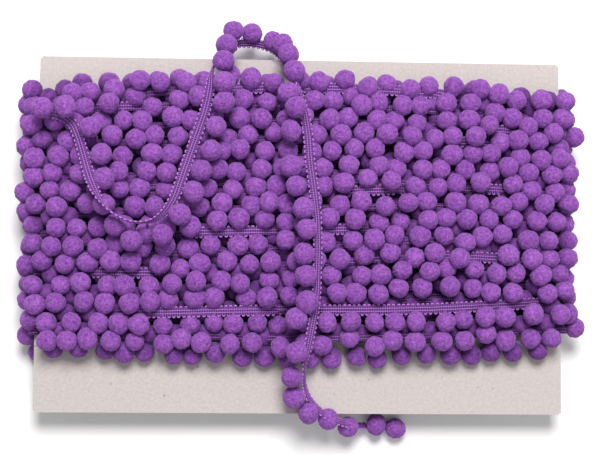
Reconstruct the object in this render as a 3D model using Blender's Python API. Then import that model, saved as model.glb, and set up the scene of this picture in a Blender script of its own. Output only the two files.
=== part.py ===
"""Pompom fringe trim, wound lengthwise round a flat greyboard card.

The card lies flat, its long side along X. The trim is a narrow woven braid with a row of yarn
pompoms on one edge. Its turns run along X over the front, round the card's short ends and back
underneath. The last half metre is loose and lies over the front of the winding.

Metres, +Z up. The origin is the middle of the card in X and Y, at the height the winding rests on.
"""

import math
from collections import namedtuple

import bmesh
import bpy
import numpy as np
from mathutils import Vector

MM = 0.001
GAP = 0.3 * MM                      # clearance between neighbouring solids

# The card
CARD_LENGTH = 250.0 * MM
CARD_WIDTH = 169.0 * MM
CARD_THICKNESS = 2.0 * MM
CARD_CORNER = 0.8 * MM

# The winding: how deep the turns lie on each side of the card
BACK_DEPTH = 15.0 * MM
FRONT_DEPTH = 18.0 * MM
FRONT_DROP = 3.0 * MM               # the front is pulled down this much at the card's short ends
END_REACH = 9.5 * MM                # how far the turns stand out past the short ends
CREST_SHARE = 0.29                  # half width of a turn's flat crest, as a share of the pitch
VALLEY_SHARE = 0.80                 # depth left between two turns, as a share of the full depth
LOW_TURN_SHARE = 0.56               # depth of the single-layer turns at both edges of the winding
LOW_TURN_TOP = 4.5 * MM             # from the first turn up to the single-layer turn above it
LOW_TURN_BOTTOM = 9.5 * MM          # from the last turn down to the single-layer turn below it
FOOT_STEP = 4.2 * MM                # from the single-layer turn to the winding's edge on the card
FOOT_SHARE = 0.12                   # depth at the winding's edge

# The trim
BRAID_WIDTH = 5.0 * MM              # the woven band without its picot loops
BRAID_THICKNESS = 1.0 * MM
POMPOM_RADIUS = 4.8 * MM
POMPOM_PITCH = 10.3 * MM            # along the braid, a little more where two would touch
FIRST_POMPOM = 5.0 * MM             # from the loose end's start to its first pompom

CARD_BOTTOM = BACK_DEPTH
CARD_TOP = CARD_BOTTOM + CARD_THICKNESS
SLOT_TOP = CARD_TOP + GAP           # the slot through the winding, which the card fills
SLOT_BOTTOM = CARD_BOTTOM - GAP
POMPOM_REACH = BRAID_WIDTH / 2 + GAP + POMPOM_RADIUS

# Stretches that the winding's loop is divided into
FRONT_STEPS = 12
END_STEPS = 7
BACK_STEPS = 6

# Each turn that shows: its depth as a share of the full depth, and where it runs, in mm up from the
# card's middle, at five stations along its length.
STATION_X = (-121.0, -64.0, -2.0, 60.0, 121.0)
Turn = namedtuple("Turn", "depth far_left left middle right far_right")
TURNS = (
    Turn(0.85, 63.0, 71.0, 71.5, 70.5, 66.5),
    Turn(0.95, 57.0, 63.5, 64.0, 64.0, 60.0),
    Turn(1.00, 50.0, 54.0, 56.5, 56.0, 51.5),
    Turn(1.00, 43.0, 45.0, 48.5, 47.0, 44.0),
    Turn(1.00, 34.5, 36.5, 40.0, 39.0, 37.5),
    Turn(1.00, 26.0, 28.0, 31.5, 31.0, 30.0),
    Turn(1.00, 18.5, 20.0, 22.5, 23.5, 22.5),
    Turn(1.00, 10.5, 12.0, 13.5, 15.5, 14.5),
    Turn(1.00, 2.0, 3.0, 4.5, 7.5, 6.5),
    Turn(1.00, -7.0, -7.0, -5.0, -1.5, -2.0),
    Turn(1.00, -16.0, -16.0, -13.0, -9.0, -10.5),
    Turn(1.00, -25.0, -25.0, -21.0, -17.0, -19.0),
    Turn(1.00, -33.5, -33.5, -30.0, -26.5, -28.0),
    Turn(1.00, -41.5, -43.0, -41.0, -40.0, -37.0),
    Turn(0.92, -48.5, -51.5, -52.0, -51.0, -46.5),
)

# The loose end, in mm. low is the height of the lowest point of the braid and its pompoms there;
# side is the way from the braid to its pompoms, in degrees about the way the braid runs: 0 is
# level to the left, 90 is straight up, 180 is level to the right and -90 is straight down.
Stop = namedtuple("Stop", "x y low side")
LOOSE_ROUTE = (
    Stop(-121.0, 54.5, 32.4, 20),
    Stop(-113.5, 53.5, 33.4, 22),
    Stop(-107.5, 49.8, 34.0, 22),
    Stop(-104.0, 42.8, 34.4, 20),
    Stop(-101.3, 34.5, 34.6, 12),
    Stop(-98.8, 26.5, 34.8, -5),
    Stop(-95.8, 19.0, 35.2, -35),
    Stop(-91.8, 12.0, 35.2, -72),
    Stop(-85.8, 6.2, 35.2, -105),
    Stop(-77.8, 3.0, 35.2, -122),
    Stop(-69.5, 3.6, 35.2, -138),
    Stop(-63.0, 8.4, 35.2, -155),
    Stop(-59.0, 15.4, 35.2, -168),
    Stop(-56.3, 23.5, 35.4, -180),
    Stop(-53.6, 32.0, 35.2, -192),
    Stop(-50.6, 41.0, 35.4, -198),
    Stop(-47.6, 50.0, 35.4, -200),
    Stop(-45.0, 59.0, 35.2, -202),
    Stop(-43.5, 67.5, 34.8, -212),
    Stop(-42.8, 75.5, 31.6, -240),
    Stop(-40.6, 83.3, 22.3, -290),
    Stop(-36.2, 90.0, 17.2, -330),
    Stop(-28.8, 93.0, 9.5, -366),
    Stop(-20.5, 92.6, 8.5, -370),
    Stop(-13.2, 89.2, 14.8, -350),
    Stop(-8.2, 82.8, 22.5, -325),
    Stop(-5.0, 75.4, 32.4, -295),
    Stop(-2.6, 68.0, 35.2, -265),
    Stop(-0.6, 60.5, 35.4, -238),
    Stop(1.0, 52.5, 35.4, -222),
    Stop(2.3, 44.0, 35.2, -217),
    Stop(3.2, 33.0, 35.2, -217),
    Stop(5.0, 20.0, 35.2, -217),
    Stop(6.5, 8.0, 35.2, -217),
    Stop(7.0, -4.0, 35.2, -217),
    Stop(6.9, -16.0, 35.2, -217),
    Stop(6.6, -28.0, 35.2, -217),
    Stop(5.6, -38.0, 35.2, -213),
    Stop(4.0, -47.0, 35.2, -208),
    Stop(2.4, -55.5, 34.2, -202),
    Stop(1.4, -63.5, 29.8, -197),
    Stop(2.0, -71.5, 21.5, -190),
    Stop(5.4, -79.0, 18.4, -178),
    Stop(11.8, -84.6, 13.4, -157),
    Stop(19.0, -88.2, 9.6, -146),
    Stop(26.0, -90.2, 4.2, -162),
    Stop(33.0, -90.8, 1.2, -196),
    Stop(39.5, -90.0, 0.4, -228),
    Stop(46.5, -89.4, 0.4, -245),
)
ROUTE_STEPS = 78                    # points along the loose end, an even distance apart
FINE_STEPS = 24                     # points between two stops while the curve is worked out


def clear_scene():
    for thing in list(bpy.data.objects):
        bpy.data.objects.remove(thing, do_unlink=True)


def make_material(name, colour, roughness):
    material = bpy.data.materials.new(name)
    material.use_nodes = True
    shader = material.node_tree.nodes["Principled BSDF"]
    shader.inputs["Base Color"].default_value = (*colour, 1.0)
    shader.inputs["Roughness"].default_value = roughness
    shader.inputs["Metallic"].default_value = 0.0
    material.diffuse_color = (*colour, 1.0)
    return material


def add_object(name, mesh, material):
    mesh.materials.append(material)
    thing = bpy.data.objects.new(name, mesh)
    bpy.context.scene.collection.objects.link(thing)
    return thing


def mesh_from_bmesh(name, shape, smooth_angle=None):
    mesh = bpy.data.meshes.new(name)
    bmesh.ops.recalc_face_normals(shape, faces=shape.faces)
    shape.to_mesh(mesh)
    shape.free()
    if smooth_angle is not None:
        mesh.shade_smooth()
        mesh.set_sharp_from_angle(angle=smooth_angle)
    return mesh


def loft_rings(rings, closed):
    """Join rings of points, each with the same count, into one closed skin."""
    shape = bmesh.new()
    loops = [[shape.verts.new(point) for point in ring] for ring in rings]
    count = len(loops[0])
    pairs = list(zip(loops, loops[1:]))
    if closed:
        pairs.append((loops[-1], loops[0]))
    for first, second in pairs:
        for i in range(count):
            j = (i + 1) % count
            shape.faces.new((first[i], first[j], second[j], second[i]))
    if not closed:
        shape.faces.new(loops[0])
        shape.faces.new(list(reversed(loops[-1])))
    bmesh.ops.triangulate(shape, faces=shape.faces)
    return shape


# ---- card ------------------------------------------------------------------------------------

def build_card(material):
    shape = bmesh.new()
    bmesh.ops.create_cube(shape, size=1.0)
    size = Vector((CARD_LENGTH, CARD_WIDTH, CARD_THICKNESS))
    bmesh.ops.scale(shape, vec=size, verts=shape.verts)
    upright = [edge for edge in shape.edges
               if abs(edge.verts[0].co.z - edge.verts[1].co.z) > CARD_THICKNESS / 2]
    bmesh.ops.bevel(shape, geom=upright, offset=CARD_CORNER, segments=2, affect="EDGES")
    middle = Vector((0.0, 0.0, CARD_BOTTOM + CARD_THICKNESS / 2))
    bmesh.ops.translate(shape, vec=middle, verts=shape.verts)
    return add_object("card", mesh_from_bmesh("card", shape), material)


# ---- winding ---------------------------------------------------------------------------------

def front_depth(x):
    """Depth of the turns over the card's front face: full in the middle, less at the ends."""
    return FRONT_DEPTH - FRONT_DROP * (2 * x / CARD_LENGTH) ** 4


def winding_stations():
    """Stops round the loop that every turn follows: (outer point, inner point, x for the table).

    Points are (x, z). The inner point lies on the slot round the card.
    """
    half = CARD_LENGTH / 2
    stations = []
    for i in range(FRONT_STEPS + 1):
        x = -half + CARD_LENGTH * i / FRONT_STEPS
        stations.append(((x, CARD_TOP + front_depth(x)), (x, SLOT_TOP), x))
    stations += end_stations(1)
    for i in range(BACK_STEPS + 1):
        x = half - CARD_LENGTH * i / BACK_STEPS
        stations.append(((x, 0.0), (x, SLOT_BOTTOM), x))
    stations += reversed(end_stations(-1))
    return stations


def end_stations(sign):
    """Stops round one short end of the card, from its front face to its back face."""
    half = CARD_LENGTH / 2
    middle = (CARD_TOP + front_depth(half)) / 2
    stations = []
    for i in range(1, END_STEPS):
        angle = math.pi * i / END_STEPS
        outer = (sign * (half + END_REACH * math.sin(angle)), middle + middle * math.cos(angle))
        past_edge = min(max(1.5 * i / END_STEPS - 0.25, 0.0), 1.0)
        height = SLOT_TOP + (SLOT_BOTTOM - SLOT_TOP) * past_edge
        stations.append((outer, (sign * (half + GAP), height), sign * half))
    return stations


def turn_places(x, on_back):
    """Y of every turn in the table where the loop is at x, from the top one down."""
    if on_back:
        share = x / CARD_LENGTH + 0.5
        return [MM * (turn.far_left + (turn.far_right - turn.far_left) * share) for turn in TURNS]
    return [MM * float(np.interp(x / MM, STATION_X, turn[1:])) for turn in TURNS]


def low_turn(crest, step, sign):
    """The single-layer turn and the foot beyond it, from the inside out: (y, share of depth)."""
    middle = crest + sign * step
    return [
        (middle - sign * 0.35 * FOOT_STEP, LOW_TURN_SHARE),
        (middle + sign * 0.10 * FOOT_STEP, LOW_TURN_SHARE),
        (middle + sign * 0.75 * FOOT_STEP, LOW_TURN_SHARE * 0.75),
        (middle + sign * FOOT_STEP, FOOT_SHARE),
    ]


def winding_profile(places):
    """The winding cut across its turns: (y, share of the full depth), from the top edge down."""
    profile = list(reversed(low_turn(places[0], LOW_TURN_TOP, 1)))
    for i, (place, turn) in enumerate(zip(places, TURNS)):
        above = places[max(i - 1, 0)] - places[max(i - 1, 0) + 1]
        below = places[min(i, len(places) - 2)] - places[min(i, len(places) - 2) + 1]
        profile.append((place + CREST_SHARE * above, turn.depth))
        profile.append((place - CREST_SHARE * below, turn.depth))
        if i + 1 < len(places):
            shallow = min(turn.depth, TURNS[i + 1].depth)
            profile.append((place - below / 2, VALLEY_SHARE * shallow))
    profile += low_turn(places[-1], LOW_TURN_BOTTOM, -1)
    return profile


def build_winding(material):
    rings = []
    for outer, inner, x in winding_stations():
        on_back = outer[1] < CARD_BOTTOM
        profile = winding_profile(turn_places(x, on_back))
        ring = []
        for y, share in profile:
            px = inner[0] + (outer[0] - inner[0]) * share
            pz = inner[1] + (outer[1] - inner[1]) * share
            ring.append((px, y, pz))
        ring.append((inner[0], profile[-1][0], inner[1]))
        ring.append((inner[0], profile[0][0], inner[1]))
        rings.append(ring)
    shape = loft_rings(rings, closed=True)
    return add_object("winding", mesh_from_bmesh("winding", shape, math.radians(50)), material)


# ---- loose end -------------------------------------------------------------------------------

def smooth_curve(rows, steps):
    """Points an even distance apart on a smooth curve through the rows, and the curve's length.

    A row is x, y, z and then whatever else varies along the curve.
    """
    rows = np.array(rows, dtype=float)
    padded = np.vstack((2 * rows[0] - rows[1], rows, 2 * rows[-1] - rows[-2]))
    fine = []
    for a, b, c, d in zip(padded, padded[1:], padded[2:], padded[3:]):
        for t in np.linspace(0.0, 1.0, FINE_STEPS, endpoint=False):
            bend = 2 * b + (c - a) * t + (2 * a - 5 * b + 4 * c - d) * t ** 2
            fine.append(0.5 * (bend + (3 * b - a - 3 * c + d) * t ** 3))
    fine.append(rows[-1])
    fine = np.array(fine)
    legs = np.linalg.norm(np.diff(fine[:, :3], axis=0), axis=1)
    along = np.concatenate(((0.0,), np.cumsum(legs)))
    even = np.linspace(0.0, along[-1], steps)
    columns = [np.interp(even, along, fine[:, i]) for i in range(fine.shape[1])]
    return np.stack(columns, axis=1), float(along[-1])


def loose_rows():
    """The route's stops as (x, y, z, side), z being the height of the braid's middle."""
    rows = []
    for stop in LOOSE_ROUTE:
        rise = math.sin(math.radians(stop.side))
        level = abs(math.cos(math.radians(stop.side)))
        below_pompom = POMPOM_RADIUS - POMPOM_REACH * rise
        below_braid = (BRAID_WIDTH * abs(rise) + BRAID_THICKNESS * level) / 2
        lift = max(below_pompom, below_braid)
        rows.append((stop.x * MM, stop.y * MM, stop.low * MM + lift, stop.side))
    return rows


def loose_frames(steps):
    """Points on the loose braid, with the way it runs and the way to its pompoms."""
    curve, length = smooth_curve(loose_rows(), steps)
    points = curve[:, :3]
    along = np.gradient(points, axis=0)
    along /= np.linalg.norm(along, axis=1)[:, None]
    left = np.cross((0.0, 0.0, 1.0), along)
    left /= np.linalg.norm(left, axis=1)[:, None]
    above = np.cross(along, left)
    angle = np.radians(curve[:, 3])[:, None]
    side = left * np.cos(angle) + above * np.sin(angle)
    return points, along, side, length


def build_loose_braid(material):
    points, along, side, _ = loose_frames(ROUTE_STEPS)
    face = np.cross(along, side)
    rings = []
    for point, across, out in zip(points, side, face):
        wide = across * BRAID_WIDTH / 2
        deep = out * BRAID_THICKNESS / 2
        rings.append([point + wide + deep, point - wide + deep, point - wide - deep,
                      point + wide - deep])
    shape = loft_rings(rings, closed=False)
    return add_object("loose_braid", mesh_from_bmesh("loose_braid", shape), material)


def pompom_places():
    """Centres of the pompoms on the loose end, a pitch apart along the braid, clear of each other."""
    samples = 1200
    points, _, side, length = loose_frames(samples)
    step = length / (samples - 1)
    places = []
    due = FIRST_POMPOM
    for i in range(samples):
        centre = points[i] + side[i] * POMPOM_REACH
        clear = not places or np.linalg.norm(centre - places[-1]) > 2 * POMPOM_RADIUS + GAP
        if i * step >= due and clear:
            places.append(centre)
            due = i * step + POMPOM_PITCH
    return places


def build_loose_pompoms(material):
    shape = bmesh.new()
    bmesh.ops.create_icosphere(shape, subdivisions=2, radius=POMPOM_RADIUS)
    mesh = mesh_from_bmesh("pompom", shape, math.radians(60))
    mesh.materials.append(material)
    for i, place in enumerate(pompom_places()):
        ball = bpy.data.objects.new(f"loose_pompom_{i + 1:02d}", mesh)
        ball.location = Vector(place)
        bpy.context.scene.collection.objects.link(ball)


def main():
    clear_scene()
    greyboard = make_material("greyboard", (0.68, 0.63, 0.61), 0.9)
    yarn = make_material("purple_yarn", (0.30, 0.08, 0.52), 0.95)
    braid = make_material("purple_braid", (0.22, 0.05, 0.42), 0.8)
    build_card(greyboard)
    build_winding(yarn)
    build_loose_braid(braid)
    build_loose_pompoms(yarn)


main()
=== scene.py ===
"""Looks of a pompom fringe trim wound on a greyboard card.

The trim is a narrow woven braid with loops along both edges and a row of yarn pompoms hung from
one of them. It is wound lengthwise round the card in two layers, and its last half metre lies
loose over the front. Metres, +Z up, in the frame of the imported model.
"""
import math
from collections import namedtuple

import bmesh
import bpy
import numpy as np
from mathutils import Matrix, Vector, kdtree


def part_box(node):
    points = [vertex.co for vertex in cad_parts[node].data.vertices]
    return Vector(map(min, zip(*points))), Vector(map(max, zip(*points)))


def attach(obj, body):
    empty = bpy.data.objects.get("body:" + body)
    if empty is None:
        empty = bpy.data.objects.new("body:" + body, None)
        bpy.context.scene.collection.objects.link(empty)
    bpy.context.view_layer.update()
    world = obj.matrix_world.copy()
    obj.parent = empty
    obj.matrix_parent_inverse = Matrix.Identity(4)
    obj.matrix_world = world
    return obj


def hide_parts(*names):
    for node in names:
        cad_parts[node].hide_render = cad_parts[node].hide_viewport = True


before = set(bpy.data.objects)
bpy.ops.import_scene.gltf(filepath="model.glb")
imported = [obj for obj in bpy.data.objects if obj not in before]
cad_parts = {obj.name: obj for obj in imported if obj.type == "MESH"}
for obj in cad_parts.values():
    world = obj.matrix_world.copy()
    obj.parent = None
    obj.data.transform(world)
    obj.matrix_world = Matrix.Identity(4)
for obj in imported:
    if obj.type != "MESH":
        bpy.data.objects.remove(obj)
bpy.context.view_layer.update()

MM = 0.001

# ---- sizes of the trim ----

POMPOM_RADIUS = 4.8 * MM
WOUND_PITCH = 10.7 * MM             # between pompoms along a wound turn
BRAID_HALF = 1.80 * MM              # half the woven band, without its loops
BRAID_THICK = 1.0 * MM
PICOT_REACH = 0.80 * MM             # how far a loop stands out from the band
PICOT_THREAD = 0.36 * MM            # half its thickness
PICOT_PITCH = 2.3 * MM
PICK_PITCH = 1.1 * MM               # between cross threads

CARD_LOW, CARD_HIGH = (np.array(corner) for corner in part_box("card"))
WINDING_LOW, WINDING_HIGH = (np.array(corner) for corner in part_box("winding"))
CARD_END = float(CARD_HIGH[0])
CARD_TOP = float(CARD_HIGH[2])
CARD_BOTTOM = float(CARD_LOW[2])

# ---- the route of the loose end, as in the model ----

# In mm. low is the height of the lowest point of the braid and its pompoms there; side is the way
# from the braid to its pompoms, in degrees about the way the braid runs: 0 is level to the left,
# 90 is straight up, 180 is level to the right and -90 is straight down. face is the way that the
# woven band itself has turned, which differs a little where it stands on its edge.
Stop = namedtuple("Stop", "x y low side face")
LOOSE_ROUTE = tuple(Stop(*row) for row in (
    (-121.0, 54.5, 32.4, 20, 20), (-113.5, 53.5, 33.4, 22, 22), (-107.5, 49.8, 34.0, 22, 22),
    (-104.0, 42.8, 34.4, 20, 20), (-101.3, 34.5, 34.6, 12, 12), (-98.8, 26.5, 34.8, -5, -8),
    (-95.8, 19.0, 35.2, -35, -32), (-91.8, 12.0, 35.2, -72, -72), (-85.8, 6.2, 35.2, -105, -88),
    (-77.8, 3.0, 35.2, -122, -92), (-69.5, 3.6, 35.2, -138, -104), (-63.0, 8.4, 35.2, -155, -132),
    (-59.0, 15.4, 35.2, -168, -155), (-56.3, 23.5, 35.4, -180, -172), (-53.6, 32.0, 35.2, -192, -180),
    (-50.6, 41.0, 35.4, -198, -184), (-47.6, 50.0, 35.4, -200, -186), (-45.0, 59.0, 35.2, -202, -190),
    (-43.5, 67.5, 34.8, -212, -205), (-42.8, 75.5, 31.6, -240, -245), (-40.6, 83.3, 22.3, -290, -285),
    (-36.2, 90.0, 17.2, -330, -308), (-28.8, 93.0, 9.5, -366, -318), (-20.5, 92.6, 8.5, -370, -318),
    (-13.2, 89.2, 14.8, -350, -315), (-8.2, 82.8, 22.5, -325, -302), (-5.0, 75.4, 32.4, -295, -280),
    (-2.6, 68.0, 35.2, -265, -250), (-0.6, 60.5, 35.4, -238, -222), (1.0, 52.5, 35.4, -222, -205),
    (2.3, 44.0, 35.2, -217, -202), (3.2, 33.0, 35.2, -217, -202), (5.0, 20.0, 35.2, -217, -205),
    (6.5, 8.0, 35.2, -217, -210), (7.0, -4.0, 35.2, -217, -214), (6.9, -16.0, 35.2, -217, -215),
    (6.6, -28.0, 35.2, -217, -214), (5.6, -38.0, 35.2, -213, -214), (4.0, -47.0, 35.2, -208, -214),
    (2.4, -55.5, 34.2, -202, -225), (1.4, -63.5, 29.8, -197, -252), (2.0, -71.5, 21.5, -190, -244),
    (5.4, -79.0, 18.4, -178, -232), (11.8, -84.6, 13.4, -157, -232), (19.0, -88.2, 9.6, -146, -232),
    (26.0, -90.2, 4.2, -162, -235), (33.0, -90.8, 1.2, -196, -240), (39.5, -90.0, 0.4, -228, -245),
    (46.5, -89.4, 0.4, -245, -250),
))
MODEL_RADIUS = 4.8 * MM             # the plain ball and strip that the route is settled with
MODEL_BRAID_WIDTH = 5.0 * MM
MODEL_BRAID_THICK = 1.0 * MM

# Where the pompoms of the loose end lie, in mm, from its start to its free end.
Hung = namedtuple("Hung", "x y z")
LOOSE_POMPOMS = tuple(Hung(*row) for row in (
    (-120, 55.5, 41), (-109.5, 56, 42), (-98, 47, 41), (-93, 34.5, 41), (-91.5, 23.5, 40.5),
    (-91.5, 11.5, 40), (-86, 2, 39), (-78.5, -5, 41), (-72, -0.5, 36), (-64.5, -2.5, 42),
    (-56.5, 7, 42), (-50.5, 17.5, 41), (-47, 27.5, 41), (-42.5, 37, 41), (-40.5, 48, 41),
    (-37, 59.5, 41), (-37, 68.5, 41.5), (-37.5, 79.5, 38), (-36, 88.5, 31), (-33, 97.5, 22),
    (-24, 97.5, 16.5), (-14, 94, 15.5), (-9.5, 91, 23), (-7, 84.5, 31), (-4.5, 75, 38.5),
    (-7, 64.5, 40), (-4, 57, 45), (-6, 46.5, 42), (-6, 30, 42), (-3.5, 21, 42), (0, 10.5, 42),
    (1.5, 1, 42), (0.5, -10.5, 42), (1.5, -20.5, 42), (2, -32.5, 42), (-3, -40, 41),
    (-2.5, -55.5, 39.5), (-4.5, -67, 33), (-3, -76.5, 27), (4, -84, 23), (13.5, -87, 18),
    (23.5, -91, 12), (37.5, -90, 7), (47, -92, 5.3),
))

# ---- the turns that show ----

# Where each turn of the outer layer has its pompoms, in mm up from the card's middle, at five
# stations along the front. braid is the side of them that its braid lies on, from 1 above to -1
# below, and lift is how many mm higher than the layer the row stands.
STATION_X = (-121.0, -64.0, -2.0, 60.0, 121.0)
Turn = namedtuple("Turn", "braid lift far_left left middle right far_right")
OUTER_TURNS = tuple(Turn(*row) for row in (
    (-0.5, -1.5, 60.5, 70.0, 72.0, 70.0, 62.5), (1, -1.0, 56.0, 62.0, 61.0, 60.5, 56.5),
    (1, 0.0, 50.0, 53.5, 55.5, 54.0, 50.5), (1, 0.0, 43.5, 44.5, 48.0, 46.0, 43.0),
    (1, 0.0, 35.0, 36.5, 39.5, 38.5, 38.0), (-1, 0.0, 26.0, 28.0, 31.0, 31.0, 31.0),
    (1, 0.0, 18.5, 20.0, 22.5, 23.0, 23.0), (1, 0.0, 10.5, 12.0, 13.0, 15.5, 15.0),
    (1, 0.0, 2.0, 3.0, 5.0, 7.5, 6.5), (1, 0.0, -7.0, -7.0, -5.0, -1.5, -2.0),
    (1, 0.0, -16.0, -16.5, -12.5, -8.5, -10.0), (1, 0.0, -25.0, -25.0, -21.0, -16.5, -18.5),
    (-1, 0.0, -33.0, -32.5, -29.0, -24.5, -28.0), (1, 0.0, -42.0, -44.0, -42.0, -40.5, -37.0),
    (0.4, -1.0, -49.0, -50.0, -51.0, -50.0, -46.5),
))
# The single-layer turns beyond them, at the top and bottom edges of the winding.
TOP_TURN = Turn(-1, 0.0, 63.0, 72.5, 67.0, 65.0, 63.0)
BOTTOM_TURN = Turn(1, 0.0, -53.0, -56.0, -58.5, -57.0, -52.5)
# Stretches where a turn's braid lies bare on top, by turn, from x to x in mm.
Stretch = namedtuple("Stretch", "turn start stop")
BARE_BRAIDS = tuple(Stretch(*row) for row in (
    (13, -84.0, -12.0), (13, 8.0, 114.0), (0, -38.0, 72.0), (2, -97.0, -80.0), (3, 80.0, 100.0),
    (4, 74.0, 88.0), (7, 20.0, 46.0), (7, 84.0, 96.0), (9, -56.0, -18.0), (9, 8.0, 24.0),
    (11, 66.0, 96.0), (11, -96.0, -70.0),
))
# Stretches where a turn's pompoms have slipped down between their neighbours.
SUNKEN = (
    Stretch(13, -66.0, -4.0),
    Stretch(11, -10.0, 16.0),
    Stretch(8, 30.0, 52.0),
)
# Pompoms that have come out past the card's end, in mm.
STRAYS = (Hung(131.5, 48.5, 21.0), Hung(132.0, -43.0, 17.0))

CENTRE_OUTER_FRONT = 13.4 * MM      # height of the outer pompoms' centres over the card's face
CENTRE_INNER_FRONT = 5.0 * MM
CENTRE_OUTER_BACK = 4.7 * MM        # height over the table, where the turns lie pressed
CENTRE_INNER_BACK = 10.2 * MM
FRONT_DROP = 5.0 * MM               # how much lower the outer layer lies at the short ends
CENTRE_END = 4.4 * MM               # how far past the card's end the pompoms' centres go
SUNKEN_DEPTH = 5.0 * MM
BARE_LIFT = 12.6 * MM               # height of a bare braid over the card's face
COVERED_LIFT = 9.0 * MM             # height of a covered one
BRAID_OFFSET = 6.0 * MM             # from a wound row of pompoms to its braid
BRAID_END = 3.0 * MM                # how far past the card's end the braid goes
BRAID_BACK = 7.6 * MM               # and its height over the table behind the card
INNER_BRAID_LIFT = 3.0 * MM         # from the card to the inner layer's braid, all round
CARD_BRAID_LIFT = 0.9 * MM          # and to the braid wound first, which covers the card


# ---- mesh helpers ----

def make_mesh(name, points, triangles, material):
    """One object from arrays of points and triangles."""
    mesh = bpy.data.meshes.new(name)
    points = np.ascontiguousarray(points, dtype=np.float32)
    triangles = np.ascontiguousarray(triangles, dtype=np.int32)
    mesh.vertices.add(len(points))
    mesh.vertices.foreach_set("co", points.ravel())
    mesh.loops.add(triangles.size)
    mesh.loops.foreach_set("vertex_index", triangles.ravel())
    mesh.polygons.add(len(triangles))
    mesh.polygons.foreach_set("loop_start", np.arange(0, triangles.size, 3, dtype=np.int32))
    mesh.update(calc_edges=True)
    mesh.shade_smooth()
    mesh.materials.append(material)
    thing = bpy.data.objects.new(name, mesh)
    bpy.context.scene.collection.objects.link(thing)
    return thing


def add_attribute(thing, name, values):
    layer = thing.data.attributes.new(name, "FLOAT", "POINT")
    layer.data.foreach_set("value", np.ascontiguousarray(values, dtype=np.float32).ravel())


def add_buried_shade(thing, points):
    """How deep in the winding each point lies, for its painted shade: 0 over its outer 5 mm and 1
    from 11 mm in.
    """
    inside = np.minimum(points - WINDING_LOW, WINDING_HIGH - points).min(axis=-1)
    add_attribute(thing, "buried_shade", np.clip((inside - 5.0 * MM) / (6.0 * MM), 0.0, 1.0))


def add_uv(thing, name, corners):
    layer = thing.data.uv_layers.new(name=name)
    layer.uv.foreach_set("vector", np.ascontiguousarray(corners, dtype=np.float32).ravel())


def unit(vectors):
    return vectors / np.maximum(np.linalg.norm(vectors, axis=-1, keepdims=True), 1e-12)


def random_turns(rng, count):
    """Random rotation matrices, from unit quaternions."""
    w, x, y, z = unit(rng.normal(size=(count, 4))).T
    rows = (
        (1 - 2 * (y * y + z * z), 2 * (x * y - w * z), 2 * (x * z + w * y)),
        (2 * (x * y + w * z), 1 - 2 * (x * x + z * z), 2 * (y * z - w * x)),
        (2 * (x * z - w * y), 2 * (y * z + w * x), 1 - 2 * (x * x + y * y)),
    )
    return np.array(rows).transpose(2, 0, 1)


def smooth_curve(rows, steps):
    """Points an even distance apart on a smooth curve through the rows, and the curve's length.

    A row is x, y, z and then whatever else varies along the curve.
    """
    rows = np.array(rows, dtype=float)
    padded = np.vstack((2 * rows[0] - rows[1], rows, 2 * rows[-1] - rows[-2]))
    fine = []
    for a, b, c, d in zip(padded, padded[1:], padded[2:], padded[3:]):
        for t in np.linspace(0.0, 1.0, 24, endpoint=False):
            bend = 2 * b + (c - a) * t + (2 * a - 5 * b + 4 * c - d) * t ** 2
            fine.append(0.5 * (bend + (3 * b - a - 3 * c + d) * t ** 3))
    fine.append(rows[-1])
    fine = np.array(fine)
    legs = np.linalg.norm(np.diff(fine[:, :3], axis=0), axis=1)
    along = np.concatenate(((0.0,), np.cumsum(legs)))
    even = np.linspace(0.0, along[-1], steps)
    columns = [np.interp(even, along, fine[:, i]) for i in range(fine.shape[1])]
    return np.stack(columns, axis=1), float(along[-1])


# ---- pompoms ----

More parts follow.
